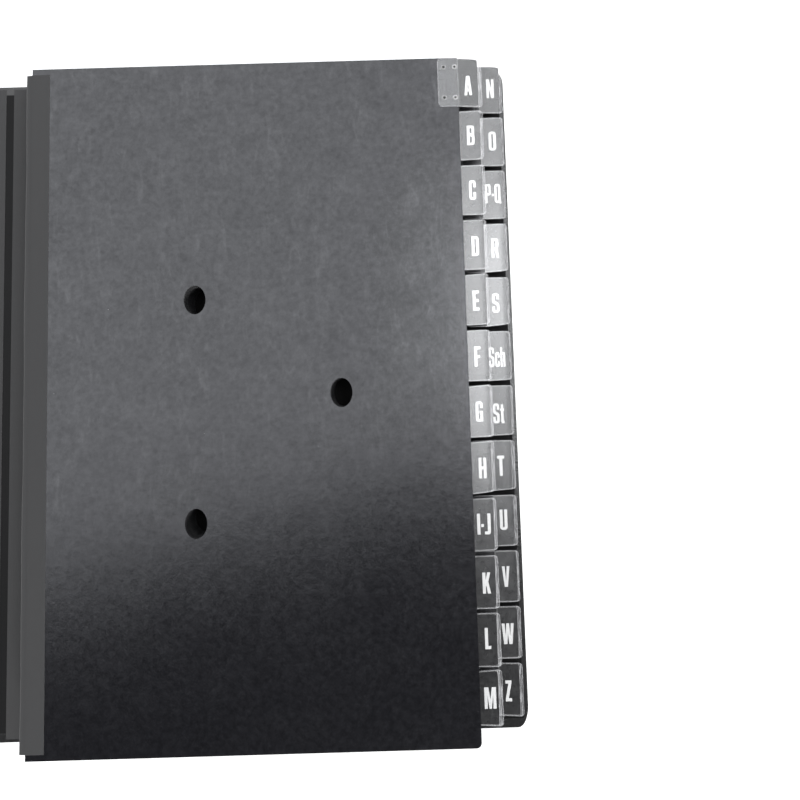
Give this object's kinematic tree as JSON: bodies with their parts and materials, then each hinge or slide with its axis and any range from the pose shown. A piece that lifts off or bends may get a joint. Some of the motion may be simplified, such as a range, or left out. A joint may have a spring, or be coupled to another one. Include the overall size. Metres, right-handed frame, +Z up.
{
  "type": "desk sorter",
  "caption": "Case-bound A4 desk sorter lying open, with hinged black board leaves on an expanding gusset and two staggered columns of clear lettered index tabs.",
  "frame": {"origin": "centre of the back cover's underside, on the surface that it lies on", "axes": "+X towards the index tabs, +Y towards the head of the sheets, +Z up off the table"},
  "size_m": [0.5322, 0.34, 0.0276],
  "materials": {
    "cover_board": "black embossed cover board, satin",
    "leaf_board": "black pressboard, satin, fine mottle",
    "cloth": "black bookbinding cloth",
    "tab": "clear folded film over a black printed insert, with bright eyelets"
  },
  "bodies": {
    "back": {"back_cover": "cover_board", "expanding_gusset": "cloth", "spine_cloth_rear": "cloth", "spine_lining_rear": "cloth"},
    "spine": {"spine_board": "cover_board", "spine_cloth_front": "cloth", "spine_lining_front": "cloth"},
    "front": {"front_cover": "cover_board"},
    "leaf_Z": {"leaf_Z": "leaf_board", "tab_Z": "tab"},
    "leaf_W": {"leaf_W": "leaf_board", "tab_W": "tab"},
    "leaf_V": {"leaf_V": "leaf_board", "tab_V": "tab"},
    "leaf_U": {"leaf_U": "leaf_board", "tab_U": "tab"},
    "leaf_T": {"leaf_T": "leaf_board", "tab_T": "tab"},
    "leaf_St": {"leaf_St": "leaf_board", "tab_St": "tab"},
    "leaf_Sch": {"leaf_Sch": "leaf_board", "tab_Sch": "tab"},
    "leaf_S": {"leaf_S": "leaf_board", "tab_S": "tab"},
    "leaf_R": {"leaf_R": "leaf_board", "tab_R": "tab"},
    "leaf_PQ": {"leaf_PQ": "leaf_board", "tab_PQ": "tab"},
    "leaf_O": {"leaf_O": "leaf_board", "tab_O": "tab"},
    "leaf_N": {"leaf_N": "leaf_board", "tab_N": "tab"},
    "leaf_M": {"leaf_M": "leaf_board", "tab_M": "tab"},
    "leaf_L": {"leaf_L": "leaf_board", "tab_L": "tab"},
    "leaf_K": {"leaf_K": "leaf_board", "tab_K": "tab"},
    "leaf_IJ": {"leaf_IJ": "leaf_board", "tab_IJ": "tab"},
    "leaf_H": {"leaf_H": "leaf_board", "tab_H": "tab"},
    "leaf_G": {"leaf_G": "leaf_board", "tab_G": "tab"},
    "leaf_F": {"leaf_F": "leaf_board", "tab_F": "tab"},
    "leaf_E": {"leaf_E": "leaf_board", "tab_E": "tab"},
    "leaf_D": {"leaf_D": "leaf_board", "tab_D": "tab"},
    "leaf_C": {"leaf_C": "leaf_board", "tab_C": "tab"},
    "leaf_B": {"leaf_B": "leaf_board", "tab_B": "tab"},
    "leaf_A": {"leaf_A": "leaf_board", "tab_A": "tab"}
  },
  "joints": [
    {"name": "cover_1_spine_fold", "type": "hinge", "parent": "back", "child": "spine", "pos_m": [-0.1275, 0, 0.001], "axis": [0, -1, 0], "range_deg": [-90, 0], "deforming": ["spine_cloth_rear", "spine_lining_rear"]},
    {"name": "cover_2_front_fold", "type": "hinge", "parent": "spine", "child": "front", "pos_m": [-0.1557, 0, 0.001], "axis": [0, -1, 0], "range_deg": [-90, 0], "deforming": ["spine_cloth_front", "spine_lining_front"]},
    {"name": "leaf_Z_turn", "type": "hinge", "parent": "back", "child": "leaf_Z", "pos_m": [-0.1214, 0, 0.00223], "axis": [0, -1, 0], "range_deg": [0, 7], "deforming": ["expanding_gusset"]},
    {"name": "leaf_W_turn", "type": "hinge", "parent": "leaf_Z", "child": "leaf_W", "pos_m": [-0.1214, 0, 0.00328], "axis": [0, -1, 0], "range_deg": [0, 7], "deforming": ["expanding_gusset"]},
    {"name": "leaf_V_turn", "type": "hinge", "parent": "leaf_W", "child": "leaf_V", "pos_m": [-0.1214, 0, 0.00434], "axis": [0, -1, 0], "range_deg": [0, 7], "deforming": ["expanding_gusset"]},
    {"name": "leaf_U_turn", "type": "hinge", "parent": "leaf_V", "child": "leaf_U", "pos_m": [-0.1214, 0, 0.00539], "axis": [0, -1, 0], "range_deg": [0, 7], "deforming": ["expanding_gusset"]},
    {"name": "leaf_T_turn", "type": "hinge", "parent": "leaf_U", "child": "leaf_T", "pos_m": [-0.1214, 0, 0.00645], "axis": [0, -1, 0], "range_deg": [0, 7], "deforming": ["expanding_gusset"]},
    {"name": "leaf_St_turn", "type": "hinge", "parent": "leaf_T", "child": "leaf_St", "pos_m": [-0.1214, 0, 0.0075], "axis": [0, -1, 0], "range_deg": [0, 7], "deforming": ["expanding_gusset"]},
    {"name": "leaf_Sch_turn", "type": "hinge", "parent": "leaf_St", "child": "leaf_Sch", "pos_m": [-0.1214, 0, 0.00856], "axis": [0, -1, 0], "range_deg": [0, 7], "deforming": ["expanding_gusset"]},
    {"name": "leaf_S_turn", "type": "hinge", "parent": "leaf_Sch", "child": "leaf_S", "pos_m": [-0.1214, 0, 0.00961], "axis": [0, -1, 0], "range_deg": [0, 7], "deforming": ["expanding_gusset"]},
    {"name": "leaf_R_turn", "type": "hinge", "parent": "leaf_S", "child": "leaf_R", "pos_m": [-0.1214, 0, 0.01067], "axis": [0, -1, 0], "range_deg": [0, 7], "deforming": ["expanding_gusset"]},
    {"name": "leaf_PQ_turn", "type": "hinge", "parent": "leaf_R", "child": "leaf_PQ", "pos_m": [-0.1214, 0, 0.01172], "axis": [0, -1, 0], "range_deg": [0, 7], "deforming": ["expanding_gusset"]},
    {"name": "leaf_O_turn", "type": "hinge", "parent": "leaf_PQ", "child": "leaf_O", "pos_m": [-0.1214, 0, 0.01278], "axis": [0, -1, 0], "range_deg": [0, 7], "deforming": ["expanding_gusset"]},
    {"name": "leaf_N_turn", "type": "hinge", "parent": "leaf_O", "child": "leaf_N", "pos_m": [-0.1214, 0, 0.01383], "axis": [0, -1, 0], "range_deg": [0, 7], "deforming": ["expanding_gusset"]},
    {"name": "leaf_M_turn", "type": "hinge", "parent": "leaf_N", "child": "leaf_M", "pos_m": [-0.1214, 0, 0.01489], "axis": [0, -1, 0], "range_deg": [0, 7], "deforming": ["expanding_gusset"]},
    {"name": "leaf_L_turn", "type": "hinge", "parent": "leaf_M", "child": "leaf_L", "pos_m": [-0.1214, 0, 0.01594], "axis": [0, -1, 0], "range_deg": [0, 7], "deforming": ["expanding_gusset"]},
    {"name": "leaf_K_turn", "type": "hinge", "parent": "leaf_L", "child": "leaf_K", "pos_m": [-0.1214, 0, 0.017], "axis": [0, -1, 0], "range_deg": [0, 7], "deforming": ["expanding_gusset"]},
    {"name": "leaf_IJ_turn", "type": "hinge", "parent": "leaf_K", "child": "leaf_IJ", "pos_m": [-0.1214, 0, 0.01805], "axis": [0, -1, 0], "range_deg": [0, 7], "deforming": ["expanding_gusset"]},
    {"name": "leaf_H_turn", "type": "hinge", "parent": "leaf_IJ", "child": "leaf_H", "pos_m": [-0.1214, 0, 0.01911], "axis": [0, -1, 0], "range_deg": [0, 7], "deforming": ["expanding_gusset"]},
    {"name": "leaf_G_turn", "type": "hinge", "parent": "leaf_H", "child": "leaf_G", "pos_m": [-0.1214, 0, 0.02016], "axis": [0, -1, 0], "range_deg": [0, 7], "deforming": ["expanding_gusset"]},
    {"name": "leaf_F_turn", "type": "hinge", "parent": "leaf_G", "child": "leaf_F", "pos_m": [-0.1214, 0, 0.02122], "axis": [0, -1, 0], "range_deg": [0, 7], "deforming": ["expanding_gusset"]},
    {"name": "leaf_E_turn", "type": "hinge", "parent": "leaf_F", "child": "leaf_E", "pos_m": [-0.1214, 0, 0.02227], "axis": [0, -1, 0], "range_deg": [0, 7], "deforming": ["expanding_gusset"]},
    {"name": "leaf_D_turn", "type": "hinge", "parent": "leaf_E", "child": "leaf_D", "pos_m": [-0.1214, 0, 0.02333], "axis": [0, -1, 0], "range_deg": [0, 7], "deforming": ["expanding_gusset"]},
    {"name": "leaf_C_turn", "type": "hinge", "parent": "leaf_D", "child": "leaf_C", "pos_m": [-0.1214, 0, 0.02438], "axis": [0, -1, 0], "range_deg": [0, 7], "deforming": ["expanding_gusset"]},
    {"name": "leaf_B_turn", "type": "hinge", "parent": "leaf_C", "child": "leaf_B", "pos_m": [-0.1214, 0, 0.02544], "axis": [0, -1, 0], "range_deg": [0, 7], "deforming": ["expanding_gusset"]},
    {"name": "leaf_A_turn", "type": "hinge", "parent": "leaf_B", "child": "leaf_A", "pos_m": [-0.1214, 0, 0.02649], "axis": [0, -1, 0], "range_deg": [0, 7], "deforming": ["expanding_gusset"]}
  ]
}
